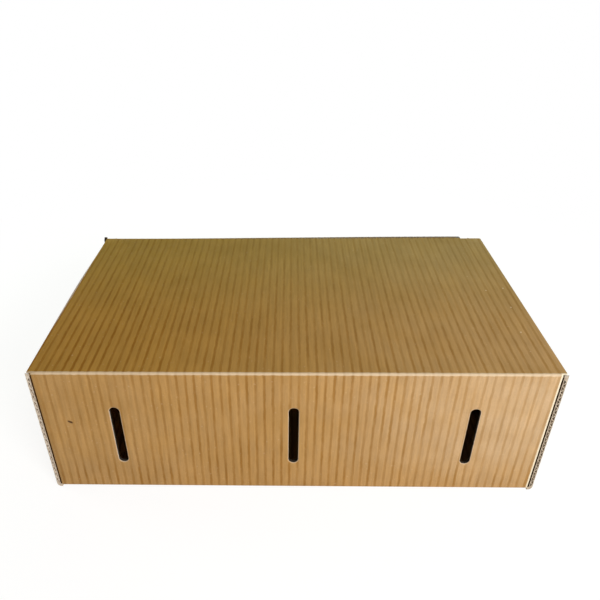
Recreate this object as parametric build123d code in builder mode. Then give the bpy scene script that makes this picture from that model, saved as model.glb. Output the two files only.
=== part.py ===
from build123d import *

import os

# Waxed produce box: one die-cut sheet of corrugated board with roll-over end walls,
# a hinged lid and a tuck front. The hinge wall faces -Y, the box stands on Z = 0.

# Corrugated board
board = 3.6  # thickness of the board
liner = 0.7  # each flat facing, crushed a little at a cut edge
medium = 1.3  # wavy sheet between the facings, measured along the board
flute_pitch = 7.8
wall_flutes = 60  # flutes across the hinge wall
fold_inner = 0.6  # inside radius of a folded score

# Box
depth = 270.0  # hinge wall to front wall, outside
height = 148.0

# Room left between layers of board
corner_gap = 1.0  # dust flap to end wall
layer_gap = 0.4  # inner end panel to dust flap and base
wall_gap = 0.6  # inner end panel to hinge wall and front wall
dust_gap = 0.5  # dust flap to the base below it and the ledge above it
lid_gap = 0.3  # lid to the ledges that carry it
hinge_gap = 0.1  # lid to hinge wall across the mitred crease
tuck_gap = 0.5  # tuck fold to front wall

# Vent slots in the hinge wall and the front wall
vent_length = 71.0
vent_width = 9.4
vent_spacing = 165.6
vent_height = 71.6  # middle of the slots above the floor
vent_count = 3

# Sharp creases of the hinge wall, the lid and the dust flaps
crease_round = 1.6
crease_relief = 0.5  # hinge wall is cut back at both ends of its crease

# Front wall
shoulder_width = 20.0
shoulder_round = 3.0
mouth_depth = 12.0  # open flutes in the raw top edge

# Roll-over end walls
dust_flap_length = 112.0
ledge_lip = 0.3  # flat run of board left beside a fold
ear_run = 3.2  # unfolded ends of the outer panels, beside the ledges
ear_gap = 0.6  # slanted tops of those ends to the crease, measured upwards
tab_width = 46.0
tab_spacing = 124.0
tab_gap = 0.4  # lock tab to its slot in the base
tab_recess = 0.6  # lock tab ends this far above the floor

# Lid
lid_inset = 1.3  # lid edge inside the outer face of the end walls
lid_corner_round = 1.5
tuck_depth = 38.0
tuck_inset = 4.4  # tuck flap clear of each inner end panel
tuck_lean = 2.8  # tip of the tuck flap leans in, so that it swings clear of the front wall
tuck_corner_round = 16.0
tip_mouth_depth = 6.0  # open flutes in the tip of the tuck flap

overrun = 5.0  # cuts reach this far past the board

# Layers across each end wall, from its outer face inwards
half_wall = wall_flutes * flute_pitch / 2
half_depth = depth / 2
half_width = half_wall + corner_gap + board
panel_mid = half_width - board / 2
dust_mid = half_wall - board / 2
inner_mid = dust_mid - board - layer_gap
inner_face = inner_mid - board / 2

# Folds, at the middle of the board and at its outer face
fold_mid = fold_inner + board / 2
fold_outer = fold_inner + board

# Heights
lid_under = height - board
ledge_mid = lid_under - lid_gap - board / 2
panel_top = ledge_mid - fold_mid - ledge_lip
dust_top = ledge_mid - board / 2 - dust_gap
dust_bottom = board + dust_gap
inner_bottom = board + layer_gap
tuck_tip = height - tuck_depth
ear_top = height - ear_gap
ear_low = ear_top - ear_run

# Places along and across the box
wall_mid = half_depth - board / 2
wall_face = half_depth - board
crease_half = half_wall - crease_relief
raised_half = half_wall - shoulder_width
inner_half_depth = wall_face - wall_gap
lid_half = half_width - lid_inset
lid_edge = wall_face - tuck_gap
tuck_half = inner_face - tuck_inset
tuck_start = lid_edge - 2 * board
tip_edge = lid_edge - tuck_lean

# Open flutes: triangles that stand on the two facings in turn
mouth_height = board - 2 * liner
mouth_base = flute_pitch - 2 * medium
mouth_step = flute_pitch / 2
panel_first = fold_outer + mouth_base / 2
panel_last = panel_top - mouth_base / 2
panel_mouths = int((panel_last - panel_first) / mouth_step) + 1
ear_last = ear_low - mouth_base / 2
ear_mouths = int((ear_last - panel_first) / mouth_step) + 1
edge_last = raised_half - shoulder_round - mouth_base / 2
edge_mouths = 2 * int(edge_last / mouth_step) + 1
edge_first = -mouth_step * (edge_mouths // 2)
tip_last = tuck_half - tuck_corner_round - mouth_base / 2
tip_mouths = 2 * int(tip_last / mouth_step) + 1
tip_first = -mouth_step * (tip_mouths // 2)


# Places of the open flutes along a raw edge, every second one turned over
def flute_places(start, along, count, turn):
    return [
        Location(Vector(start) + Vector(along) * mouth_step * index, (0, 0, turn + 180 * (index % 2)))
        for index in range(count)
    ]


# One open flute, drawn about its middle
def flute_mouth(mode):
    Polygon(
        (-mouth_base / 2, mouth_height / 2),
        (0, -mouth_height / 2),
        (mouth_base / 2, mouth_height / 2),
        align=None,
        mode=mode,
    )


with BuildPart() as tray:
    # Base with the hinge wall and the front wall folded up from it
    with BuildSketch(Plane.YZ.offset(-crease_half)):
        with BuildLine():
            FilletPolyline(
                (-wall_mid, dust_top),
                (-wall_mid, board / 2),
                (wall_mid, board / 2),
                (wall_mid, dust_top),
                radius=fold_mid,
            )
        trace(line_width=board)
    extrude(amount=2 * crease_half)

    # Upper band of the hinge wall, rounded at the crease and mitred to meet the lid
    with BuildSketch(Plane.YZ.offset(-crease_half)):
        with BuildLine():
            round_start = (-half_depth, height - crease_round)
            round_middle = (-half_depth + crease_round, height - crease_round)
            crease_arc = CenterArc(round_middle, crease_round, 180, -45)
            Polyline(
                crease_arc @ 1,
                (-wall_face, lid_under),
                (-wall_face, dust_top),
                (-half_depth, dust_top),
                round_start,
            )
        make_face()
    extrude(amount=2 * crease_half)

    # Raised middle of the front wall, between two shoulders
    with BuildSketch(Plane.XZ.offset(-half_depth)):
        with Locations((0, dust_top)):
            Rectangle(2 * raised_half, height - dust_top, align=(Align.CENTER, Align.MIN))
        fillet(vertices().group_by(Axis.Y)[-1], radius=shoulder_round)
    extrude(amount=board)

    # Open flutes in the raw top edge of the front wall
    with BuildSketch(Plane.XY.offset(height)):
        with Locations(*flute_places((edge_first, wall_mid), (1, 0), edge_mouths, 0)):
            flute_mouth(Mode.ADD)
    extrude(amount=-mouth_depth, mode=Mode.SUBTRACT)

    # Vent slots through both long walls
    with BuildSketch(Plane.XZ.offset(-half_depth - overrun)):
        with Locations((0, vent_height)):
            with GridLocations(vent_spacing, 0, vent_count, 1):
                SlotOverall(vent_length, vent_width, rotation=90)
    extrude(amount=depth + 2 * overrun, mode=Mode.SUBTRACT)

    # Outer panels of the end walls, whose flutes open at both raw ends
    with BuildSketch(Plane.XZ.offset(-half_depth)):
        with BuildLine():
            FilletPolyline(
                (crease_half, board / 2),
                (panel_mid, board / 2),
                (panel_mid, panel_top),
                radius=fold_mid,
            )
        trace(line_width=board)
        with Locations(*flute_places((panel_mid, panel_first), (0, 1), panel_mouths, 90)):
            flute_mouth(Mode.SUBTRACT)
        mirror(about=Plane.YZ)
    extrude(amount=depth)

    # Ends of the outer panels, left standing beside the ledges and slanted to clear the lid
    with BuildSketch(Plane.YZ.offset(-half_width), Plane.YZ.offset(half_width - board)):
        with BuildLine():
            Polyline(
                (-half_depth, panel_top),
                (-half_depth, ear_top),
                (ear_run - half_depth, ear_low),
                (ear_run - half_depth, panel_top),
                close=True,
            )
        make_face()
        mirror(about=Plane.YZ)
    extrude(amount=board)

    # Open flutes in those ends, from the topmost one of the panels below
    with BuildSketch(Plane.XZ.offset(-half_depth), Plane.XZ.offset(half_depth - ear_run)):
        ear_places = flute_places((panel_mid, panel_first), (0, 1), ear_mouths, 90)
        with Locations(*ear_places[panel_mouths - 1 :]):
            flute_mouth(Mode.ADD)
        mirror(about=Plane.YZ)
    extrude(amount=ear_run, mode=Mode.SUBTRACT)

    # Slots in the base for the lock tabs
    with BuildSketch(Plane.XY):
        with GridLocations(2 * inner_mid, tab_spacing, 2, 2):
            Rectangle(board + 2 * tab_gap, tab_width + 2 * tab_gap)
    extrude(amount=board, mode=Mode.SUBTRACT)

    # Ledges and inner panels, rolled over the dust flaps
    with BuildSketch(Plane.XZ.offset(-inner_half_depth)):
        with BuildLine():
            FilletPolyline(
                (panel_mid, panel_top),
                (panel_mid, ledge_mid),
                (inner_mid, ledge_mid),
                (inner_mid, inner_bottom),
                radius=fold_mid,
            )
        trace(line_width=board)
        mirror(about=Plane.YZ)
    extrude(amount=2 * inner_half_depth)

    # Lock tabs at the foot of the inner panels
    with BuildSketch(Plane.XY.offset(tab_recess)):
        with GridLocations(2 * inner_mid, tab_spacing, 2, 2):
            Rectangle(board, tab_width)
    extrude(amount=inner_bottom - tab_recess)

    # Dust flaps, folded in from the ends of both long walls
    with BuildSketch(Plane.XY.offset(dust_bottom)):
        with Locations((half_wall, -half_depth)):
            Rectangle(2 * board, board, align=(Align.MAX, Align.MIN))
            Rectangle(board, dust_flap_length, align=(Align.MAX, Align.MIN))
        fillet(vertices().group_by(Axis.Y)[0].sort_by(Axis.X)[-1], radius=crease_round)
        mirror(about=Plane.YZ)
        mirror(about=Plane.XZ)
    extrude(amount=dust_top - dust_bottom)

tray.part.label = "tray"

with BuildPart() as lid:
    # Panel, cut back behind the tuck fold
    with BuildSketch(Plane.XY.offset(lid_under)):
        with Locations((0, -half_depth)):
            Rectangle(2 * lid_half, half_depth + lid_edge, align=(Align.CENTER, Align.MIN))
        fillet(vertices().group_by(Axis.Y)[-1], radius=lid_corner_round)
        with Locations((0, lid_edge)):
            Rectangle(
                2 * tuck_half,
                lid_edge - tuck_start,
                align=(Align.CENTER, Align.MAX),
                mode=Mode.SUBTRACT,
            )
    extrude(amount=board)

    # Round of the crease, and the mitre that lets the lid swing
    crease_edge = edges().filter_by(Axis.X).group_by(Axis.Y)[0].sort_by(Axis.Z)[-1]
    fillet(crease_edge, radius=crease_round)
    mitre = Plane(origin=(0, hinge_gap - half_depth, height), x_dir=(1, 0, 0), z_dir=(0, 1, 1))
    split(bisect_by=mitre, keep=Keep.TOP)

    # Fold and tuck flap with rounded lower corners
    with BuildSketch(Plane.YZ.offset(-tuck_half)):
        with BuildLine():
            Polyline(
                (tuck_start, lid_under),
                (tuck_start, height),
                (lid_edge, height),
                (tip_edge, tuck_tip),
                (tip_edge - board, tuck_tip),
                (lid_edge - board, lid_under),
                close=True,
            )
        make_face()
        fillet(vertices().group_by(Axis.Y)[-1].sort_by(Axis.X)[-1], radius=crease_round)
    extrude(amount=2 * tuck_half)
    tip_face = faces().sort_by(Axis.Z)[0]
    fillet(tip_face.edges().sort_by(SortBy.LENGTH)[:2], radius=tuck_corner_round)

    # Open flutes in the tip of the tuck flap
    with BuildSketch(Plane.XY.offset(tuck_tip)):
        with Locations(*flute_places((tip_first, tip_edge - board / 2), (1, 0), tip_mouths, 0)):
            flute_mouth(Mode.ADD)
    extrude(amount=tip_mouth_depth, mode=Mode.SUBTRACT)

lid.part.label = "lid"

os.makedirs("parts", exist_ok=True)
export_step(tray.part, "parts/tray.step")
export_step(lid.part, "parts/lid.step")
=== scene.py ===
import math

import bpy
import numpy as np
from mathutils import Matrix, Vector


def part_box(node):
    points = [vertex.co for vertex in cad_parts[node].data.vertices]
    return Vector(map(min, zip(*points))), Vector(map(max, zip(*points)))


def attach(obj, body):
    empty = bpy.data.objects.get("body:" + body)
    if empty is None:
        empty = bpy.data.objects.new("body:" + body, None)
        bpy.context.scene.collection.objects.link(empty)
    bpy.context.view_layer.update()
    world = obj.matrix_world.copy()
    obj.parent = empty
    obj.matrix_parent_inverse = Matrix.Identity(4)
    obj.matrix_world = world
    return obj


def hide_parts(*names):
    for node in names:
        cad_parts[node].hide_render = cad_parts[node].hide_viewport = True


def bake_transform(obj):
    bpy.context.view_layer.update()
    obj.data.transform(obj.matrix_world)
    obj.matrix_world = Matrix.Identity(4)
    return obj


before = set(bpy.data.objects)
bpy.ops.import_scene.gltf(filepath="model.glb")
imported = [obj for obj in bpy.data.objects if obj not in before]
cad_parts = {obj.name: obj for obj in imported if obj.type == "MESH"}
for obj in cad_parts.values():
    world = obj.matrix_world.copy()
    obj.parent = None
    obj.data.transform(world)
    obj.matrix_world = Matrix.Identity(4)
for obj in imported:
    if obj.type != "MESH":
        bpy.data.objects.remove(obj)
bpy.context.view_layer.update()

scene = bpy.context.scene
trayHigh = Vector(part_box("tray")[1])
lidHigh = Vector(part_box("lid")[1])
print("frame loaded:", sorted(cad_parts))

# Corrugated sheet that the whole box is folded from, in metres
sheet = {
    "thick": 0.0036,
    "pitch": 0.0078,  # one flute
    "wallHalf": 0.2340,  # middle of the hinge wall to its end
    "foldOuter": 0.0042,  # outside radius of a fold
    "layerGap": 0.0004,  # between a dust flap and the inner end panel
    "stripeShift": 0.08,  # flutes, from the middle of the wall to a crest
    "otherFacing": 0.5,  # flutes, the two facings rest on opposite sides
    "wallSkew": 0.0047,  # sideways run of the flutes on the hinge wall
    "lidSkew": 0.0129,  # and on the lid
    "furrow": 0.00024,  # facing sinks this far between two flutes
    "furrowPower": 1.5,  # above 1, furrows are narrower than crests
    "furrowUneven": 0.22,  # share of the depth that varies
    "wander": 0.05,  # flutes, to each side
    "wanderScale": (0.6, 0.7),  # across and along
    "wanderSeed": 4.0,
    "cutsPerFlute": 6,
    "crossCut": 0.0135,  # step of the cuts across the flutes
    "endCrossCut": 0.027,
    "baseCrossCut": 0.045,
    "faceReach": 0.0003,  # a point this near to a face belongs to it
    "mergeReach": 0.0000003,
    "flatAngle": 0.1,  # degrees, faces flatter than this are joined
    "smoothAngle": 28,
}
height = trayHigh.z
halfDepth = trayHigh.y
halfWidth = trayHigh.x
# inner faces of the panels
wallFace = halfDepth - sheet["thick"]
lidUnder = height - sheet["thick"]
endFace = halfWidth - sheet["thick"]
dustFace = sheet["wallHalf"] - sheet["thick"]
innerFace = dustFace - sheet["layerGap"] - sheet["thick"]
alongX, alongY, alongZ = (1, 0, 0), (0, 1, 0), (0, 0, 1)


def pickObject(piece):
    bpy.ops.object.select_all(action="DESELECT")
    piece.select_set(True)
    bpy.context.view_layer.objects.active = piece


def copyNode(nodeName, pieceName):
    piece = bpy.data.objects.new(pieceName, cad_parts[nodeName].data.copy())
    piece.data.materials.clear()
    scene.collection.objects.link(piece)
    pickObject(piece)
    bpy.ops.mesh.customdata_custom_splitnormals_clear()
    bpy.ops.object.mode_set(mode="EDIT")
    bpy.ops.mesh.select_all(action="SELECT")
    bpy.ops.mesh.remove_doubles(threshold=sheet["mergeReach"])
    bpy.ops.mesh.dissolve_limited(angle_limit=math.radians(sheet["flatAngle"]))
    bpy.ops.object.mode_set(mode="OBJECT")
    return piece


def readInts(items, name, each=1):
    values = np.empty(len(items) * each, dtype=np.int32)
    items.foreach_get(name, values)
    return values


def readPoints(mesh):
    points = np.empty(len(mesh.vertices) * 3)
    mesh.vertices.foreach_get("co", points)
    return points.reshape(-1, 3)


def writePoints(mesh, points):
    mesh.vertices.foreach_set("co", points.ravel())
    mesh.update()


def readFaces(mesh):
    count = len(mesh.polygons)
    centres, normals = np.empty(count * 3), np.empty(count * 3)
    mesh.polygons.foreach_get("center", centres)
    mesh.polygons.foreach_get("normal", normals)
    return centres.reshape(-1, 3), normals.reshape(-1, 3)


def selectFaces(mesh, chosen):
    mesh.vertices.foreach_set("select", np.zeros(len(mesh.vertices), dtype=bool))
    mesh.edges.foreach_set("select", np.zeros(len(mesh.edges), dtype=bool))
    mesh.polygons.foreach_set("select", chosen)


def cutFaces(piece, chosen, planes):
    selectFaces(piece.data, chosen)
    pickObject(piece)
    bpy.ops.object.mode_set(mode="EDIT")
    bpy.ops.mesh.select_mode(type="FACE")
    bpy.ops.mesh.hide(unselected=True)
    for place, normal in planes:
        bpy.ops.mesh.select_all(action="SELECT")
        bpy.ops.mesh.bisect(plane_co=place, plane_no=normal)
    bpy.ops.mesh.reveal(select=False)
    bpy.ops.object.mode_set(mode="OBJECT")


def stepPlanes(start, stop, step, axis):
    return [(tuple(value * part for part in axis), axis) for value in np.arange(start, stop, step)]


def near(value, face):
    return np.abs(value - face) < sheet["faceReach"]


def ease(value, low, high):
    share = np.clip((value - low) / (high - low), 0, 1)
    return share * share * (3 - 2 * share)


# Vent slots in both long walls
vents = {
    "spacing": 0.1656,
    "middle": 0.0716,  # above the floor
    "halfLength": 0.0355,
    "radius": 0.0047,
    "rimRound": 0.0005,  # crushed rim
    "rimSegments": 2,
    "wallReach": 0.00005,  # an edge this near to the wall's face,
    "rimReach": 0.0002,  # and to the slot's outline, is on the rim
}


def offSlot(x, z):
    # distance from the nearest slot's outline, along the wall
    aside = (x + vents["spacing"] / 2) % vents["spacing"] - vents["spacing"] / 2
    beyond = np.maximum(np.abs(z - vents["middle"]) - vents["halfLength"] + vents["radius"], 0)
    return np.hypot(aside, beyond) - vents["radius"]


def roundVentRims(piece):
    mesh = piece.data
    points = readPoints(mesh)
    ends = readInts(mesh.edges, "vertices", 2)
    first, second = points[ends[0::2]], points[ends[1::2]]
    chosen = np.ones(len(mesh.edges), dtype=bool)
    for place in (first, second, (first + second) / 2):
        chosen &= np.abs(np.abs(place[:, 1]) - halfDepth) < vents["wallReach"]
        chosen &= np.abs(offSlot(place[:, 0], place[:, 2])) < vents["rimReach"]
    selectFaces(mesh, np.zeros(len(mesh.polygons), dtype=bool))
    mesh.edges.foreach_set("select", chosen)
    pickObject(piece)
    bpy.ops.object.mode_set(mode="EDIT")
    bpy.ops.mesh.select_mode(type="EDGE")
    bpy.ops.mesh.bevel(offset=vents["rimRound"], segments=vents["rimSegments"], affect="EDGES")
    bpy.ops.object.mode_set(mode="OBJECT")
    print("vent rims rounded:", int(chosen.sum()), "edges")


# Which panel of the sheet each face belongs to
panels = {"raw": 0, "long": 1, "end": 2, "ledge": 3, "dust": 4}
sorting = {
    "slack": 0.0002,  # metres that a face may lie past a limit
    "baseSlack": 0.0007,
    "edgeSlack": 0.0001,
    "rollDepth": 0.0125,  # rolled-over edge of the ends, below the top
    "footIn": 0.0047,  # fold at the foot of the ends, in from the wall's end
    "tipDrop": 0.02,  # tip of the tuck flap, below the lid
    "level": 0.95,  # this and the rest are shares of a normal along an axis
    "square": 0.9,
    "mainly": 0.7,
    "slanted": 0.3,
    "edgeOn": 0.1,
    "rolled": 0.03,
    "straight": 0.02,
}


def sortTrayFaces(piece):
    centres, normals = readFaces(piece.data)
    x, y, z = np.abs(centres[:, 0]), np.abs(centres[:, 1]), centres[:, 2]
    nx, ny, nz = np.abs(normals).T
    slack, reach = sorting["slack"], sheet["faceReach"]
    panel = np.full(len(centres), panels["raw"], dtype=np.int32)
    longWall = (y > wallFace - slack) & (x < endFace - slack) & (nx < sorting["square"])
    longWall &= (ny > sorting["slanted"]) | (z < sheet["foldOuter"])
    panel[longWall & (nz < sorting["level"])] = panels["long"]
    base = (z < sheet["thick"] + sorting["baseSlack"]) & (nz > sorting["slanted"]) & (x < halfWidth)
    panel[base] = panels["long"]
    mitre = (centres[:, 1] < -wallFace) & (z > lidUnder) & (nx < sorting["edgeOn"])
    panel[mitre & (x < sheet["wallHalf"])] = panels["long"]
    onOuter = near(x, halfWidth) | near(x, endFace)
    onInner = near(x, innerFace) | near(x, innerFace + sheet["thick"])
    onDust = near(x, sheet["wallHalf"]) | near(x, dustFace)
    panel[(nx > sorting["mainly"]) & (onOuter | onInner)] = panels["end"]
    panel[(nx > sorting["mainly"]) & onDust] = panels["dust"]
    ledge = (x > innerFace - reach) & (z > height - sorting["rollDepth"]) & (y < wallFace - reach)
    panel[ledge & (ny < sorting["edgeOn"]) & (nz > sorting["rolled"])] = panels["ledge"]
    foot = (x > sheet["wallHalf"] - sorting["footIn"]) & (z < sheet["foldOuter"])
    foot &= (ny < sorting["edgeOn"]) & (nx > sorting["rolled"]) & (nz > sorting["rolled"])
    panel[foot] = panels["end"]
    cutEdge = (y > halfDepth - sorting["edgeSlack"]) & (x > endFace - slack) & (ny > sorting["square"])
    panel[cutEdge] = panels["raw"]
    return panel


def sortLidFaces(piece):
    centres, normals = readFaces(piece.data)
    z = centres[:, 2]
    panel = np.full(len(centres), panels["long"], dtype=np.int32)
    raw = np.abs(normals[:, 0]) > sorting["edgeOn"]
    raw |= (normals[:, 2] < -sorting["square"]) & (z < lidUnder - sorting["tipDrop"])
    raw |= (np.abs(normals[:, 1]) > sorting["square"]) & (z > lidUnder - sorting["edgeSlack"])
    panel[raw] = panels["raw"]
    return panel


def addPanels(piece, panel):
    attribute = piece.data.attributes.new("panel", "INT", "FACE")
    attribute.data.foreach_set("value", panel)


def readPanels(piece):
    return readInts(piece.data.attributes["panel"].data, "value")


def pickPanel(piece, name):
    centres, normals = readFaces(piece.data)
    return readPanels(piece) == panels[name], centres, np.abs(normals)


# Flutes and the furrows that they leave in the facings
slowWaves = ((0.91, 61.0, 1.0), (0.37, -97.0, 2.3), (1.73, 29.0, 0.7))  # rates of first, second and seed


def waver(first, second, seed):
    # slow unevenness between -1 and 1
    waves = [np.sin(first * rate + second * other + seed * shift) for rate, other, shift in slowWaves]
    return sum(waves) / len(waves)


def flutesAcross(points):
    x, y, z = points.T
    onLid = (z > lidUnder - sorting["slack"]) & (y > -halfDepth)
    run = np.where(onLid, sheet["lidSkew"] * (y + halfDepth), sheet["wallSkew"] * (z - height))
    return (x - run) / sheet["pitch"] - sheet["stripeShift"]


def furrowDepth(flutes, along, seed):
    acrossScale, alongScale = sheet["wanderScale"]
    wander = waver(flutes * acrossScale, along * alongScale, seed + sheet["wanderSeed"])
    wave = (1 - np.cos(2 * np.pi * (flutes + sheet["wander"] * wander))) / 2
    uneven = 1 - sheet["furrowUneven"] * (1 - waver(flutes, along, seed))
    return sheet["furrow"] * wave ** sheet["furrowPower"] * uneven


def fluteCuts(reach):
    step = sheet["pitch"] / sheet["cutsPerFlute"]
    first = math.ceil(-reach / step)
    return [index * step + sheet["stripeShift"] * sheet["pitch"] for index in range(first, -first + 1)]


def writeSheetMap(mesh, across, along):
    # sheet map: flutes across, metres along
    layer = mesh.uv_layers.new(name="sheet")
    layer.data.foreach_set("uv", np.stack([across, along], axis=1).ravel())


def layOutSheet(piece):
    mesh = piece.data
    place = readPoints(mesh)[readInts(mesh.loops, "vertex_index")]
    totals = readInts(mesh.polygons, "loop_total")
    centres, normals = readFaces(mesh)
    panel = np.repeat(readPanels(piece), totals)
    facing = np.repeat(normals, totals, axis=0)
    middle = np.repeat(centres, totals, axis=0)
    inwards = (facing * (middle - np.array((0, 0, height / 2)))).sum(axis=1) < 0
    across = flutesAcross(place)
    across = np.where(panel == panels["end"], place[:, 2] / sheet["pitch"], across)
    across = np.where(panel == panels["dust"], place[:, 1] / sheet["pitch"], across)
    across = across + np.where(inwards, sheet["otherFacing"], 0.0)
    along = np.where(np.abs(facing[:, 1]) > sorting["mainly"], place[:, 2], place[:, 1])
    along = np.where(panel == panels["dust"], place[:, 2], along)
    writeSheetMap(mesh, across, along)


# Facing over the crease between hinge wall and lid, angles in degrees
creaseShape = {
    "round": 0.0016,
    "half": 0.2333,  # reaches this far each way
    "middleAngle": 135,  # halfway between the wall's face and the lid's
    "roundAngle": 45,  # the boards' round runs this far each way
    "spread": 26,  # and the facing this far
    "steps": 8,
    "cutsPerFlute": 4,
    "thick": 0.00018,
    "proud": 0.00003,
    "uneven": 0.00005,
    "unevenScale": (140, 0.02),  # along and around the crease
    "unevenSeed": 3.1,
    "sunk": 0.00030,  # the boards lie this far under it
    "sunkCore": 8,  # full depth within this angle
    "sunkFeather": 6,  # none from this far past the facing
    "bendInset": 4,  # the bend stops this far inside the facing
    "smoothAngle": 56,
}
creaseMiddle = (-halfDepth + creaseShape["round"], height - creaseShape["round"])  # y and z


def sinkCrease(points):
    y = points[:, 1] - creaseMiddle[0]
    z = points[:, 2] - creaseMiddle[1]
    away = np.maximum(np.hypot(y, z), 1e-9)  # never zero
    turned = np.abs(np.degrees(np.arctan2(z, y)) - creaseShape["middleAngle"])
    onRound = near(away, creaseShape["round"]) & (turned < creaseShape["roundAngle"])
    outside = creaseShape["spread"] + creaseShape["sunkFeather"]
    depth = creaseShape["sunk"] * ease(-turned, -outside, -creaseShape["sunkCore"])
    sunk = np.where(onRound, depth, 0)
    points[:, 1] -= y / away * sunk
    points[:, 2] -= z / away * sunk


def makeCrease():
    bpy.ops.object.select_all(action="DESELECT")
    cuts = round(2 * creaseShape["half"] / sheet["pitch"] * creaseShape["cutsPerFlute"])
    bpy.ops.mesh.primitive_grid_add(
        x_subdivisions=cuts, y_subdivisions=creaseShape["steps"], size=1, calc_uvs=False, location=(0, 0, 0))
    piece = bpy.context.object
    piece.name = "creaseFacing"
    mesh = piece.data
    points = readPoints(mesh)
    x = points[:, 0] * 2 * creaseShape["half"]
    around = points[:, 1]
    angle = np.radians(creaseShape["middleAngle"] - around * 2 * creaseShape["spread"])
    alongScale, aroundScale = creaseShape["unevenScale"]
    uneven = waver(x * alongScale, around * aroundScale, creaseShape["unevenSeed"]) * np.cos(around * np.pi)
    radius = creaseShape["round"] + creaseShape["proud"] + creaseShape["uneven"] * uneven
    y = creaseMiddle[0] + np.cos(angle) * radius
    z = creaseMiddle[1] + np.sin(angle) * radius
    writePoints(mesh, np.stack([x, y, z], axis=1))
    modifier = piece.modifiers.new("facing", "SOLIDIFY")
    modifier.thickness = creaseShape["thick"]
    modifier.offset = -1
    bpy.ops.object.modifier_apply(modifier="facing")
    place = readPoints(mesh)[readInts(mesh.loops, "vertex_index")]
    writeSheetMap(mesh, flutesAcross(place), place[:, 1])
    return piece


def dressCrease(piece, liner):
    piece.data.materials.append(liner)
    pickObject(piece)
    bpy.ops.object.shade_smooth_by_angle(angle=math.radians(creaseShape["smoothAngle"]))
    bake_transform(piece)
    print(piece.name, "faces:", len(piece.data.polygons))


# Tray; a fade is where furrows start and where they have their full depth
trayShape = {
    "frontDip": 0.0027,  # left end of the front wall sits lower than the right
    "dipDepth": 0.008,  # only this much of the wall's top moves
    "dipInset": 0.02,  # and not this near to its ends
    "dipSpan": 0.2,  # half the length of the slope
    "wallBow": 0.0004,
    "bowScale": (9, 0.05),  # along and up the wall
    "bowSeed": 1.3,
    "bowReach": 0.001,
    "earFrom": 0.1443,  # ears of the end panels stand above this
    "earPress": 0.7,  # share by which the far right ear is pressed down
    "wallInset": 0.0017,  # furrows stop this near to a wall's ends
    "wallFootFade": (0.0045, 0.012),
    "wallEndFade": (0.0018, 0.004),
    "wallTopFade": (0.004, 0.012),  # inner facing only
    "baseSideFade": (0.0, 0.008),
    "baseEndFade": (0.006, 0.012),
    "floorInset": 0.01,
    "endFootFade": (0.006, 0.012),
    "endTopFade": (0.010, 0.016),
    "seeds": {"outer": 1.0, "inner": 2.0, "under": 3.0, "floor": 4.0, "endOuter": 5.0, "endInner": 6.0},
    "hingeReach": 0.0005,
    "baseReach": 0.01,
    "wallCuts": (0.006, 0.003),  # cuts start this far up and stop this far below the top
    "endCuts": (4, 0.008),  # the same, the first in steps
    "cutInset": 0.01,
}


def makeTray():
    piece = copyNode("tray", "trayBoard")
    roundVentRims(piece)
    addPanels(piece, sortTrayFaces(piece))
    fluteStep = sheet["pitch"] / sheet["cutsPerFlute"]
    fluteEdges = fluteCuts(sheet["wallHalf"])
    hingeLimit = -wallFace + trayShape["hingeReach"]
    cutStart = -wallFace + trayShape["cutInset"]
    skewed = (1, 0, -sheet["wallSkew"])
    # along the flutes: hinge wall, then base and front wall
    chosen, centres, normals = pickPanel(piece, "long")
    chosen &= (centres[:, 1] < hingeLimit) & (normals[:, 0] < sorting["straight"])
    cutFaces(piece, chosen, [((x, -halfDepth, height), skewed) for x in fluteEdges])
    chosen, centres, normals = pickPanel(piece, "long")
    chosen &= (centres[:, 1] > hingeLimit) & (normals[:, 0] < sorting["straight"])
    cutFaces(piece, chosen, [((x, 0, 0), alongX) for x in fluteEdges])
    # across them: long walls, then base
    chosen, _, normals = pickPanel(piece, "long")
    chosen &= normals[:, 1] > sorting["square"]
    foot, top = trayShape["wallCuts"]
    cutFaces(piece, chosen, stepPlanes(foot, height - top, sheet["crossCut"], alongZ))
    chosen, centres, normals = pickPanel(piece, "long")
    chosen &= (normals[:, 2] > sorting["square"]) & (centres[:, 2] < trayShape["baseReach"])
    cutFaces(piece, chosen, stepPlanes(cutStart, wallFace, sheet["baseCrossCut"], alongY))
    # ends, along their flutes and across
    foot, top = trayShape["endCuts"]
    ends = readPanels(piece) == panels["end"]
    cutFaces(piece, ends, stepPlanes(fluteStep * foot, height - top, fluteStep, alongZ))
    ends = readPanels(piece) == panels["end"]
    cutFaces(piece, ends, stepPlanes(cutStart, wallFace, sheet["endCrossCut"], alongY))
    layOutSheet(piece)
    shapeTray(piece.data)
    return piece


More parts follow.
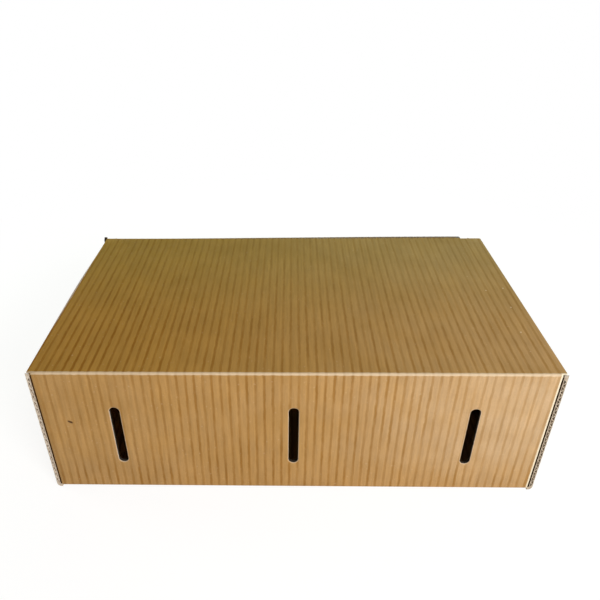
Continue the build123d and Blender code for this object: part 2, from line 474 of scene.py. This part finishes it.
def shapeTray(mesh):
    points = readPoints(mesh)
    x, y, z = points.T.copy()
    reach, seeds = sheet["faceReach"], trayShape["seeds"]
    aside, deep = np.abs(x), np.abs(y)
    fromEnd = sheet["wallHalf"] - aside
    flutes = flutesAcross(points)
    otherFlutes = flutes + sheet["otherFacing"]
    # long walls
    side = np.sign(y)
    onWall = fromEnd > trayShape["wallInset"]
    rise = ease(z, *trayShape["wallFootFade"]) * ease(fromEnd, *trayShape["wallEndFade"])
    depth = furrowDepth(flutes, z, seeds["outer"]) * rise
    points[:, 1] -= np.where((deep > halfDepth - reach) & onWall, side * depth, 0)
    depth = furrowDepth(otherFlutes, z, seeds["inner"]) * rise * ease(height - z, *trayShape["wallTopFade"])
    points[:, 1] += np.where(near(deep, wallFace) & onWall, side * depth, 0)
    # base
    field = ease(wallFace - deep, *trayShape["baseSideFade"]) * ease(fromEnd, *trayShape["baseEndFade"])
    points[:, 2] += np.where(z < reach, furrowDepth(flutes, y, seeds["under"]) * field, 0)
    onFloor = near(z, sheet["thick"]) & (fromEnd > trayShape["floorInset"])
    points[:, 2] -= np.where(onFloor, furrowDepth(otherFlutes, y, seeds["floor"]) * field, 0)
    # ends
    side = np.sign(x)
    flutes = z / sheet["pitch"]
    otherFlutes = flutes + sheet["otherFacing"]
    field = ease(z, *trayShape["endFootFade"]) * ease(height - z, *trayShape["endTopFade"])
    depth = furrowDepth(flutes, y, seeds["endOuter"]) * field
    points[:, 0] -= np.where(aside > halfWidth - reach, side * depth, 0)
    depth = furrowDepth(otherFlutes, y, seeds["endInner"]) * field
    points[:, 0] += np.where(near(aside, innerFace), side * depth, 0)
    # hinge wall bows in, front wall dips to one side, one ear is pressed down
    alongScale, upScale = trayShape["bowScale"]
    bow = trayShape["wallBow"] * np.sin(np.pi * np.clip(z / height, 0, 1))
    bow = np.abs(bow * waver(x * alongScale, z * upScale, trayShape["bowSeed"]))
    points[:, 1] += np.where((y < -wallFace + trayShape["bowReach"]) & onWall, bow, 0)
    raised = ease(z, height - trayShape["dipDepth"], height) * (y > wallFace - reach)
    raised = raised * (fromEnd > trayShape["dipInset"])
    slope = ease(-x, -trayShape["dipSpan"], trayShape["dipSpan"])
    points[:, 2] -= raised * trayShape["frontDip"] * slope
    farEar = (x > sheet["wallHalf"]) & (y > 0) & (z > trayShape["earFrom"])
    points[:, 2] -= np.where(farEar, (z - trayShape["earFrom"]) * trayShape["earPress"], 0)
    sinkCrease(points)
    writePoints(mesh, points)


# Lid
lidShape = {
    "sag": 0.0006,  # middle of the panel hangs this far
    "swell": 0.0002,  # slow waves in the panel
    "swellScale": (12, 0.12),  # across and along the panel
    "swellSeed": 0.4,
    "farTrim": 0.0034,  # far left corner is cut this far in
    "trimFrom": -0.226,
    "cornerDrop": 0.0006,  # pressed far edge beside the tuck fold
    "cornerReach": 0.0016,
    "tuckHalf": 0.2225,
    "farFade": (0.006, 0.016),  # furrows' start and full depth, from the front wall,
    "creaseFade": (0.0, 0.004),  # from the crease
    "sideFade": (0.0, 0.003),  # and from the sides
    "seeds": {"top": 1.0, "under": 2.0},
    "cutsPast": 0.004,  # skewed cuts reach this far past the sides
    "cutInset": 0.004,
}


def makeLid():
    piece = copyNode("lid", "lidBoard")
    addPanels(piece, sortLidFaces(piece))
    skewed = (1, -sheet["lidSkew"], 0)
    fluteEdges = fluteCuts(lidHigh.x + lidShape["cutsPast"])
    chosen, _, normals = pickPanel(piece, "long")
    chosen &= normals[:, 0] < sorting["straight"]
    cutFaces(piece, chosen, [((x, -halfDepth, height), skewed) for x in fluteEdges])
    chosen, _, normals = pickPanel(piece, "long")
    chosen &= normals[:, 2] > sorting["square"]
    cutStart = -wallFace + lidShape["cutInset"]
    cutFaces(piece, chosen, stepPlanes(cutStart, wallFace, sheet["crossCut"], alongY))
    layOutSheet(piece)
    shapeLid(piece.data)
    return piece


def shapeLid(mesh):
    points = readPoints(mesh)
    x, y, z = points.T.copy()
    reach, seeds = sheet["faceReach"], lidShape["seeds"]
    flutes = flutesAcross(points)
    inside = ease(wallFace - y, *lidShape["farFade"]) * ease(y + halfDepth, *lidShape["creaseFade"])
    inside = inside * ease(lidHigh.x - np.abs(x), *lidShape["sideFade"])
    top = z > height - reach
    points[:, 2] -= np.where(top, furrowDepth(flutes, y, seeds["top"]) * inside, 0)
    depth = furrowDepth(flutes + sheet["otherFacing"], y, seeds["under"]) * inside
    points[:, 2] += np.where(near(z, lidUnder), depth, 0)
    # slow waves and sag of the whole panel
    acrossScale, alongScale = lidShape["swellScale"]
    slow = waver(x * acrossScale, y * alongScale, lidShape["swellSeed"]) - 1
    slow = lidShape["swell"] * slow * inside
    dome = np.cos(np.clip(x / halfWidth, -1, 1) * np.pi / 2)
    dome = dome * np.cos(np.clip(y / halfDepth, -1, 1) * np.pi / 2)
    points[:, 2] += np.where(z > lidUnder - reach, slow - lidShape["sag"] * dome, 0)
    # far edge and far left corner
    farEdge = (y > lidHigh.y - lidShape["cornerReach"]) & top & (np.abs(x) > lidShape["tuckHalf"])
    points[:, 2] -= np.where(farEdge, lidShape["cornerDrop"], 0)
    outwards = np.clip((x - lidShape["trimFrom"]) / (-lidHigh.x - lidShape["trimFrom"]), 0, 1)
    points[:, 0] += outwards * lidShape["farTrim"] * ease(y, 0.0, lidHigh.y)
    sinkCrease(points)
    writePoints(mesh, points)


# Materials
def makeNode(tree, kind, wiring, **settings):
    node = tree.nodes.new("ShaderNode" + kind)
    for name, value in settings.items():
        setattr(node, name, value)
    for socket, value in wiring.items():
        if isinstance(value, bpy.types.NodeSocket):
            tree.links.new(value, node.inputs[socket])
        else:
            node.inputs[socket].default_value = value
    return node


def maths(tree, operation, first, *others):
    # others are taken in one after another
    for other in others or (0.0,):
        first = makeNode(tree, "Math", {0: first, 1: other}, operation=operation).outputs[0]
    return first


def times(tree, *values):
    return maths(tree, "MULTIPLY", *values)


def plus(tree, *values):
    return maths(tree, "ADD", *values)


def minus(tree, first, second):
    return maths(tree, "SUBTRACT", first, second)


def wrap(tree, value, reach):
    return makeNode(tree, "Math", {0: value, 1: reach, 2: -reach}, operation="WRAP").outputs[0]


def noise(tree, place, scale, detail=2.0, rough=0.5):
    wiring = {"Vector": place, "Scale": scale, "Detail": detail, "Roughness": rough}
    return makeNode(tree, "TexNoise", wiring).outputs["Fac"]


def remap(tree, value, fromLow, fromHigh, toLow, toHigh):
    wiring = {"Value": value, "From Min": fromLow, "From Max": fromHigh, "To Min": toLow, "To Max": toHigh}
    return makeNode(tree, "MapRange", wiring, interpolation_type="SMOOTHSTEP").outputs["Result"]


def mottle(tree, place, grain, ramp):
    return remap(tree, noise(tree, place, *grain), *ramp)


def split(tree, place):
    return makeNode(tree, "SeparateXYZ", {0: place}).outputs


def join(tree, x, y, z=0.0):
    return makeNode(tree, "CombineXYZ", {0: x, 1: y, 2: z}).outputs[0]


def lengthOf(tree, place):
    return makeNode(tree, "VectorMath", {0: place}, operation="LENGTH").outputs["Value"]


def awayFrom(tree, place, point):
    return makeNode(tree, "VectorMath", {0: place, 1: point}, operation="SUBTRACT").outputs[0]


def stretch(tree, place, scale):
    return makeNode(tree, "Mapping", {"Vector": place, "Scale": scale}).outputs[0]


def mixColour(tree, share, first, second, blend="MIX"):
    wiring = {0: share, 6: first, 7: second}
    return makeNode(tree, "Mix", wiring, data_type="RGBA", blend_type=blend).outputs[2]


def tint(tree, share, ground, colour):
    # colour is a share of the ground
    return mixColour(tree, share, ground, mixColour(tree, 1.0, ground, colour, "MULTIPLY"))


def shade(tree, ground, level):
    grey = makeNode(tree, "CombineColor", {0: level, 1: level, 2: level}).outputs[0]
    return mixColour(tree, 1.0, ground, grey, "MULTIPLY")


def startMaterial(name):
    material = bpy.data.materials.new(name)
    material.use_nodes = True
    tree = material.node_tree
    tree.nodes.clear()
    place = makeNode(tree, "TexCoord", {}).outputs["Object"]
    return material, tree, place


def endMaterial(tree, colour, rough, relief, finish):
    strength, distance = finish["bump"]
    bump = makeNode(tree, "Bump", {"Height": relief, "Strength": strength, "Distance": distance})
    shader = makeNode(tree, "BsdfPrincipled", {
        "Base Color": colour,
        "Roughness": rough,
        "Normal": bump.outputs["Normal"],
        "Specular IOR Level": finish["specularLevel"],
    })
    makeNode(tree, "OutputMaterial", {"Surface": shader.outputs[0]})


# Waxed facing. Below the colours, four numbers are a ramp: from low, from high, to low, to high.
# Two or three with no note, alone or before a ramp, are a noise: scale, detail, roughness.
linerFinish = {
    "kraft": (0.440, 0.222, 0.041, 1),
    "waxAndSheen": (0.615, 0.420, 0.245, 1),  # dull white wax, and painted sheen
    "greenCast": (0.88, 1.05, 1.10, 1),  # painted green cast of light on the far end of the lid, share of the ground
    "waxAndFurrowShade": (0.66, 0.54, 0.30, 1),  # wax-dark line with painted furrow shade over each furrow, share of the ground
    "pale": (0.760, 0.590, 0.400, 1),  # crushed or rubbed facing
    "glintAndScuff": (0.930, 0.820, 0.620, 1),  # painted glint on the right end of the hinge wall, and pale scuffs on the lid
    # painted shade in the gap beside the ends of the hinge wall
    "gapShade": (0.110, 0.050, 0.014, 1),
    "endShade": (0.80, 0.78, 0.74, 1),  # painted shade on the left end of the hinge wall, share of the ground
    "speckBrown": (0.070, 0.028, 0.013, 1),
    "specularLevel": 0.08,
    "rough": ((60.0, 3.0), (0.3, 0.7, 0.60, 0.72)),
    "bump": (0.25, 0.0003),  # strength and distance
    "fineRelief": (900.0, 3.0, 0.6),
    "broadRelief": (160.0, 2.0),
    "broadShare": 0.2,
    # where the hinge wall and the lid's top are
    "onHinge": (-wallFace - 0.001, -halfDepth + 0.0012, 0.0, 1.0),
    "overLid": (lidUnder, lidUnder + 0.001, 0.0, 1.0),
    # white wax on the wall, with painted sheen towards the right and the top, and painted light a little low
    # on the left
    "waxWall": 0.28,
    "sheenRight": (-0.03, 0.25, 0.0, 0.57),
    "sheenUp": (0.0, 0.07, 0.35, 1.0),
    "sheenLeft": (-0.05, -0.20, 0.0, 0.07),
    "sheenLow": (0.09, 0.02, 0.0, 1.0),
    # painted sheen on the lid, towards the right and the front, and white wax on all that is under it
    "sheenLidRight": (-0.20, 0.25, 0.02, 0.38),
    "sheenLidFar": (-0.13, 0.13, 1.0, 0.7),
    "waxElsewhere": (lidUnder + 0.0018, lidUnder + 0.0012, 0.0, 0.18),
    "waxPatches": ((30.0, 3.0), (0.25, 0.75, 0.85, 1.15)),
    "greenCastFar": (-0.10, 0.13, 0.0, 1.0),
    # wax-dark lines with painted furrow shade over the furrows, wandering and broken
    "lineWander": (130.0, 3.0),
    "lineWanderWidth": 0.20,  # flutes
    "line": (-0.15, -0.97, 0.0, 1.0),
    "lineBreaks": ((55.0, 3.0, 0.6), (0.30, 0.62, 0.68, 1.0)),
    "fluteRun": 14.0,  # each flute has breaks of its own, this many to the metre
    "fluteBreaks": ((0.9, 1.0), (0.36, 0.60, 0.66, 1.10)),
    "wallLinesAside": (0.06, 0.19, 0.80, 0.50),
    "wallLinesLow": (0.06, 0.02, 0.0, 0.80),
    "lidLinesFar": (-0.11, 0.11, 0.86, 0.50),
    "lidLinesRight": (-0.22, 0.02, 1.12, 0.78),
    # paper
    "patches": ((22.0, 4.0, 0.6), (0.30, 0.70, 0.955, 1.045)),
    "grain": ((1300.0, 2.0, 0.6), (0.25, 0.75, 0.94, 1.06)),
    "streakScale": (2.7, 26.0),  # across and along the flutes
    "streaks": ((1.0, 2.0, 0.6), (0.28, 0.72, 0.925, 1.055)),
    "flecks": ((380.0, 1.0), (0.72, 0.77, 0.0, 0.22)),
    # wear
    "creaseRagged": (240.0, 3.0),
    "creaseRaggedDepth": 0.0012,
    "creaseRub": (0.0032, 0.0020, 0.0, 0.85),
    "creaseFurrows": (-0.95, -0.3, 0.86, 1.0),
    "rightEndGlint": (0.2318, 0.2324, 0.0, 0.9),
    "leftEndShade": (-0.2285, -0.2330, 0.0, 1.0),
    "slotRim": (vents["radius"] + 0.0009, vents["radius"] + 0.0004, 0.0, 0.55),
    "gapInner": (0.2333, 0.2336, 0.0, 1.0),
    "gapOuter": (0.2355, 0.2352, 0.0, 1.0),
    "gapTop": (lidUnder, lidUnder - 0.0005, 0.0, 1.0),
    # one dark speck on the hinge wall, and pale ones near the right edge of the lid
    "speckPlace": (-0.2090, -0.1350, 0.0890),
    "speckHalf": (0.0028, 0.0013),  # along and across
    "speckTurn": -36,
    "speckRagged": (700.0, 0.6),  # scale and depth
    "speckEdge": (1.5, 1.0, 0.0, 0.92),
    "paleSpecks": ((0.2080, 0.0055), (0.2275, 0.0096), (0.2236, -0.0278), (0.2186, -0.0716)),
    "paleSpeckRagged": (900.0, 0.0008),  # scale and depth
    "paleSpeckEdge": (0.00144, 0.0009, 0.0, 0.6),
}


def ragged(tree, place, distance, scale, depth):
    return plus(tree, distance, times(tree, noise(tree, place, scale), depth))


def makeLiner():
    finish = linerFinish
    material, tree, place = startMaterial("waxedLiner")
    across, along, _ = split(tree, makeNode(tree, "UVMap", {}, uv_map="sheet").outputs[0])
    x, y, z = split(tree, place)
    aside = maths(tree, "ABSOLUTE", x)
    onHinge = remap(tree, y, *finish["onHinge"])
    # dull white wax and painted sheen over kraft
    spread = times(tree, remap(tree, x, *finish["sheenRight"]), remap(tree, z, *finish["sheenUp"]))
    lowLeftLight = times(tree, remap(tree, x, *finish["sheenLeft"]), remap(tree, z, *finish["sheenLow"]))
    onWall = times(tree, plus(tree, spread, finish["waxWall"], lowLeftLight), onHinge)
    onLid = times(tree, remap(tree, x, *finish["sheenLidRight"]), remap(tree, y, *finish["sheenLidFar"]))
    waxAndSheen = maths(tree, "MAXIMUM", onWall, onLid, remap(tree, z, *finish["waxElsewhere"]))
    waxAndSheen = times(tree, waxAndSheen, mottle(tree, place, *finish["waxPatches"]))
    colour = mixColour(tree, waxAndSheen, finish["kraft"], finish["waxAndSheen"])
    # painted green cast of light, towards the far end of the lid
    farGreenCast = times(tree, remap(tree, y, *finish["greenCastFar"]), remap(tree, z, *finish["overLid"]))
    colour = tint(tree, farGreenCast, colour, finish["greenCast"])
    # wax-dark lines with painted furrow shade, strongest in the middle of the wall and near the crease
    wander = minus(tree, noise(tree, place, *finish["lineWander"]), 0.5)
    wander = times(tree, wander, finish["lineWanderWidth"])
    wave = maths(tree, "COSINE", times(tree, plus(tree, across, wander), 2 * math.pi))
    ownFlute = join(tree, across, times(tree, along, finish["fluteRun"]))
    broken = mottle(tree, place, *finish["lineBreaks"])
    broken = times(tree, broken, mottle(tree, ownFlute, *finish["fluteBreaks"]))
    wallLines = remap(tree, aside, *finish["wallLinesAside"])
    wallLines = maths(tree, "MAXIMUM", wallLines, remap(tree, z, *finish["wallLinesLow"]))
    lidLines = remap(tree, y, *finish["lidLinesFar"])
    lidLines = times(tree, lidLines, remap(tree, x, *finish["lidLinesRight"]))
    strength = makeNode(tree, "Mix", {0: onHinge, 2: lidLines, 3: wallLines}).outputs[0]
    line = times(tree, remap(tree, wave, *finish["line"]), broken, strength)
    colour = tint(tree, line, colour, finish["waxAndFurrowShade"])
    # soft patches, paper grain and pale flecks of fibre
    acrossScale, alongScale = finish["streakScale"]
    fibres = join(tree, times(tree, across, acrossScale), times(tree, along, alongScale))
    level = times(tree, mottle(tree, place, *finish["patches"]), mottle(tree, place, *finish["grain"]))
    level = times(tree, level, mottle(tree, fibres, *finish["streaks"]))
    colour = shade(tree, colour, level)
    colour = mixColour(tree, mottle(tree, place, *finish["flecks"]), colour, finish["pale"])
    # rubbed crease between hinge wall and lid
    away = lengthOf(tree, join(tree, 0.0, plus(tree, y, halfDepth), minus(tree, z, height)))
    fringe = times(tree, noise(tree, place, *finish["creaseRagged"]), finish["creaseRaggedDepth"])
    rubbed = remap(tree, plus(tree, away, fringe), *finish["creaseRub"])
    rubbed = times(tree, rubbed, remap(tree, wave, *finish["creaseFurrows"]))
    colour = mixColour(tree, rubbed, colour, finish["pale"])
    # painted glint on the right end of the wall
    rightEndGlint = times(tree, remap(tree, x, *finish["rightEndGlint"]), onHinge)
    colour = mixColour(tree, rightEndGlint, colour, finish["glintAndScuff"])
    # painted shade on the left end of the wall
    leftEndShade = times(tree, remap(tree, x, *finish["leftEndShade"]), onHinge)
    colour = tint(tree, leftEndShade, colour, finish["endShade"])
    # pale crushed rims of the vent slots
    beyond = maths(tree, "ABSOLUTE", minus(tree, z, vents["middle"]))
    beyond = minus(tree, beyond, vents["halfLength"] - vents["radius"])
    beyond = maths(tree, "MAXIMUM", beyond, 0.0)
    fromSlot = lengthOf(tree, join(tree, wrap(tree, x, vents["spacing"] / 2), beyond))
    colour = mixColour(tree, remap(tree, fromSlot, *finish["slotRim"]), colour, finish["pale"])
    # painted shade in the gap between the wall's ends and the end panels
    gapShadeShare = times(tree, remap(tree, aside, *finish["gapInner"]), remap(tree, aside, *finish["gapOuter"]))
    gapShadeShare = times(tree, gapShadeShare, remap(tree, z, *finish["gapTop"]))
    colour = mixColour(tree, gapShadeShare, colour, finish["gapShade"])
    # specks
    turned = makeNode(tree, "Mapping", {
        "Vector": awayFrom(tree, place, finish["speckPlace"]),
        "Rotation": (0, math.radians(finish["speckTurn"]), 0),
    }).outputs[0]
    longHalf, shortHalf = finish["speckHalf"]
    offSpeck = lengthOf(tree, stretch(tree, turned, (1 / longHalf, 1 / longHalf, 1 / shortHalf)))
    offSpeck = ragged(tree, place, offSpeck, *finish["speckRagged"])
    colour = mixColour(tree, remap(tree, offSpeck, *finish["speckEdge"]), colour, finish["speckBrown"])
    for speckX, speckY in finish["paleSpecks"]:
        offSpeck = lengthOf(tree, awayFrom(tree, place, (speckX, speckY, height)))
        offSpeck = ragged(tree, place, offSpeck, *finish["paleSpeckRagged"])
        colour = mixColour(tree, remap(tree, offSpeck, *finish["paleSpeckEdge"]), colour, finish["glintAndScuff"])
    rough = mottle(tree, place, *finish["rough"])
    relief = times(tree, noise(tree, place, *finish["broadRelief"]), finish["broadShare"])
    relief = plus(tree, noise(tree, place, *finish["fineRelief"]), relief)
    endMaterial(tree, colour, rough, relief, finish)
    return material


# Cut edges of the board, with ramps and noises as above
rawFinish = {
    "pulp": (0.800, 0.690, 0.570, 1),
    "shade": (0.560, 0.440, 0.330, 1),
    "deep": (0.016, 0.010, 0.006, 1),  # painted shade of open flutes, of the corners beside the crease and of the far left ear
    "topEdgeGrey": (0.19, 0.20, 0.21, 1),
    "rightEdgeShade": (0.72, 0.70, 0.66, 1),  # painted shade on right-hand edges, share of the ground
    "specularLevel": 0.10,
    "rough": (0.0, 1.0, 0.75, 0.92),
    "bump": (0.5, 0.0004),  # strength and distance
    "blotches": ((260.0, 4.0, 0.65), (0.35, 0.68, 0.0, 0.8)),
    "fibreScale": (1.0, 0.3, 1.0),
    "fibreNoise": (2200.0, 3.0, 0.7),
    "fibreLevel": (0.25, 0.75, 0.85, 1.12),
    "rightEdgeShadeRamp": (-0.10, 0.10, 0.0, 1.0),
    # top edge of the front wall
    "greyTopWall": (wallFace - 0.0002, wallFace, 0.0, 1.0),
    "greyTopLevel": (0.1390, 0.1395, 0.0, 1.0),
    "greyTopRight": (-0.15, 0.15, 0.15, 0.9),
    # painted shade on the ear at the far left
    "earFar": (0.1311, 0.1315, 0.0, 0.95),
    "earLeft": (-0.2345, -0.2350, 0.0, 1.0),
    "earTop": (0.1410, 0.1430, 0.0, 1.0),
    # painted shade of the open flutes between the two facings in the vent slots
    "coreRagged": (500.0, 0.0005),  # scale and depth
    "openFluteShade": (0.0008, 0.0013, 0.0, 1.0),
    "ventTop": (0.110, 0.108, 0.0, 1.0),
    "ventAside": (0.185, 0.183, 0.0, 0.96),
    # painted shade in the corners beside the crease
    "cornerIn": (-0.1292, -0.1304, 0.0, 1.0),
    "cornerOut": (-0.1349, -0.1346, 0.0, 1.0),
    "cornerTop": (0.1380, 0.1395, 0.0, 0.95),
    "cornerAside": (0.2300, 0.2310, 0.0, 1.0),
    "cornerPatches": ((300.0, 3.0), (0.3, 0.6, 0.8, 1.0)),
}


def makeRaw():
    finish = rawFinish
    material, tree, place = startMaterial("cutBoard")
    x, y, z = split(tree, place)
    aside = maths(tree, "ABSOLUTE", x)
    blotch = mottle(tree, place, *finish["blotches"])
    colour = mixColour(tree, blotch, finish["pulp"], finish["shade"])
    fibre = noise(tree, stretch(tree, place, finish["fibreScale"]), *finish["fibreNoise"])
    colour = shade(tree, colour, remap(tree, fibre, *finish["fibreLevel"]))
    # painted shade, darker towards the right-hand edges
    colour = tint(tree, remap(tree, x, *finish["rightEdgeShadeRamp"]), colour, finish["rightEdgeShade"])
    # front wall's top edge is painted dark grey, more towards the right, and the ear at the far left gets
    # painted shade
    greyTopEdge = times(tree, remap(tree, y, *finish["greyTopWall"]), remap(tree, z, *finish["greyTopLevel"]))
    greyTopEdge = times(tree, greyTopEdge, remap(tree, x, *finish["greyTopRight"]))
    colour = mixColour(tree, greyTopEdge, colour, finish["topEdgeGrey"])
    leftEarShade = times(tree, remap(tree, y, *finish["earFar"]), remap(tree, x, *finish["earLeft"]))
    leftEarShade = times(tree, leftEarShade, remap(tree, z, *finish["earTop"]))
    colour = mixColour(tree, leftEarShade, colour, finish["deep"])
    # painted shade of the open flutes between the two facings in the vent slots
    inward = minus(tree, halfDepth, maths(tree, "ABSOLUTE", y))
    openFluteShade = remap(tree, ragged(tree, place, inward, *finish["coreRagged"]), *finish["openFluteShade"])
    inVent = times(tree, remap(tree, z, *finish["ventTop"]), remap(tree, aside, *finish["ventAside"]))
    colour = mixColour(tree, times(tree, openFluteShade, inVent), colour, finish["deep"])
    # painted shade in the corners beside the crease
    corner = times(tree, remap(tree, y, *finish["cornerIn"]), remap(tree, y, *finish["cornerOut"]))
    corner = times(tree, corner, remap(tree, z, *finish["cornerTop"]))
    corner = times(tree, corner, remap(tree, aside, *finish["cornerAside"]))
    corner = times(tree, corner, mottle(tree, place, *finish["cornerPatches"]))
    colour = mixColour(tree, corner, colour, finish["deep"])
    endMaterial(tree, colour, remap(tree, blotch, *finish["rough"]), fibre, finish)
    return material


def dress(piece, body, node, liner, raw):
    mesh = piece.data
    mesh.materials.append(raw)
    mesh.materials.append(liner)
    mesh.polygons.foreach_set("material_index", (readPanels(piece) != panels["raw"]).astype(np.int32))
    pickObject(piece)
    bpy.ops.object.shade_smooth_by_angle(angle=math.radians(sheet["smoothAngle"]))
    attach(piece, body)
    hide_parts(node)
    triangles = sum(len(polygon.vertices) - 2 for polygon in mesh.polygons)
    print(piece.name, "faces:", len(mesh.polygons), "triangles:", triangles)


linerMaterial = makeLiner()
rawMaterial = makeRaw()
print("materials made:", linerMaterial.name, rawMaterial.name)
tray = makeTray()
dress(tray, "tray", "tray", linerMaterial, rawMaterial)
lid = makeLid()
dress(lid, "lid", "lid", linerMaterial, rawMaterial)
crease = makeCrease()
dressCrease(crease, linerMaterial)

# Camera and stage
shot = {
    "place": (-0.0100, -0.5289, 0.4759),  # metres, in the box's own frame
    "pitchDown": 31.56,
    "yaw": -1.33,
    "roll": -0.65,
    "lens": 34.76,
    "sensor": 36.0,
    "shift": (0.0473, -0.0164),
    "clip": (0.01, 50.0),
}


def aimCamera():
    camera = bpy.data.objects.new("camera", bpy.data.cameras.new("camera"))
    scene.collection.objects.link(camera)
    camera.data.sensor_width = shot["sensor"]
    camera.data.lens = shot["lens"]
    camera.data.shift_x, camera.data.shift_y = shot["shift"]
    camera.data.clip_start, camera.data.clip_end = shot["clip"]
    pitch = Matrix.Rotation(math.radians(shot["pitchDown"]), 3, "X")
    yaw = Matrix.Rotation(math.radians(shot["yaw"]), 3, "Z")
    roll = Matrix.Rotation(math.radians(shot["roll"]), 3, "Y")
    right, ahead, up = roll @ pitch @ yaw  # rows of the turn from world to camera
    turn = Matrix((right, up, -ahead)).transposed()
    camera.matrix_world = Matrix.Translation(Vector(shot["place"])) @ turn.to_4x4()
    scene.camera = camera


stage = {
    "floorSize": 16.0,
    "floorBounce": (0.80, 0.80, 0.79, 1),
    "floorShaded": (0.22, 0.22, 0.22, 1),  # share of the white that takes shadows
    "floorGlow": 0.85,
    "shadowReach": (0.40, 0.75),  # shadows fade out between these distances from the box
    "white": {"Color": (1, 1, 1, 1), "Strength": 1.0},
    "fill": {"Color": (1.0, 0.99, 0.95, 1), "Strength": 0.20},
}
lamps = {
    "keyLamp": {
        "place": (0.72, -1.18, 0.80), "aim": (0.0, -0.10, 0.08), "size": (0.6, 0.6),
        "power": 18.4, "colour": (1.0, 0.99, 0.97), "gloss": True},
    "topLamp": {
        "place": (0.0, 1.60, 0.95), "aim": (0.0, 0.05, 0.14), "size": (2.0, 1.0),
        "power": 6.4, "colour": (0.58, 1.0, 0.52), "gloss": False},
    "backLamp": {
        "place": (0.30, 1.45, 0.26), "aim": (0.0, 0.10, 0.10), "size": (1.0, 0.3),
        "power": 15.0, "colour": (1.0, 1.0, 0.97), "gloss": False},
    "leftLamp": {
        "place": (-1.45, 0.30, 0.24), "aim": (-0.2, 0.05, 0.08), "size": (0.5, 0.3),
        "power": 8.0, "colour": (1.0, 1.0, 0.97), "gloss": False},
}


def seesBackground(tree):
    rays = makeNode(tree, "LightPath", {}).outputs
    return maths(tree, "MAXIMUM", rays["Is Camera Ray"], rays["Is Glossy Ray"], rays["Is Transmission Ray"])


def mixShader(tree, share, first, second):
    return makeNode(tree, "MixShader", {0: share, 1: first.outputs[0], 2: second.outputs[0]})


def makeFloor():
    bpy.ops.object.select_all(action="DESELECT")
    bpy.ops.mesh.primitive_plane_add(size=stage["floorSize"], location=(0, 0, 0))
    floor = bpy.context.object
    floor.name = "studioFloor"
    paper, tree, place = startMaterial("floorPaper")
    bounce = makeNode(tree, "BsdfDiffuse", {"Color": stage["floorBounce"]})
    shaded = makeNode(tree, "BsdfDiffuse", {"Color": stage["floorShaded"]})
    glow = makeNode(tree, "Emission", {"Color": stage["white"]["Color"], "Strength": stage["floorGlow"]})
    white = makeNode(tree, "Emission", stage["white"])
    closeBy = makeNode(tree, "AddShader", {0: shaded.outputs[0], 1: glow.outputs[0]})
    nearFar = remap(tree, lengthOf(tree, place), *stage["shadowReach"], 0.0, 1.0)
    seen = mixShader(tree, nearFar, closeBy, white)
    both = mixShader(tree, seesBackground(tree), bounce, seen)
    makeNode(tree, "OutputMaterial", {"Surface": both.outputs[0]})
    floor.data.materials.append(paper)


def lightStudio():
    world = bpy.data.worlds.new("studio")
    world.use_nodes = True
    scene.world = world
    tree = world.node_tree
    tree.nodes.clear()
    fill = makeNode(tree, "Background", stage["fill"])
    white = makeNode(tree, "Background", stage["white"])
    both = mixShader(tree, seesBackground(tree), fill, white)
    makeNode(tree, "OutputWorld", {"Surface": both.outputs[0]})
    for name, lamp in lamps.items():
        light = bpy.data.objects.new(name, bpy.data.lights.new(name, "AREA"))
        scene.collection.objects.link(light)
        light.data.energy = lamp["power"]
        light.data.shape = "RECTANGLE"
        light.data.size, light.data.size_y = lamp["size"]
        light.data.color = lamp["colour"]
        light.visible_camera = False
        light.visible_glossy = lamp["gloss"]
        light.location = lamp["place"]
        toAim = Vector(lamp["aim"]) - Vector(lamp["place"])
        light.rotation_euler = toAim.to_track_quat("-Z", "Y").to_euler()
    scene.view_settings.view_transform = "Standard"


makeFloor()
lightStudio()
aimCamera()
print("stage set")
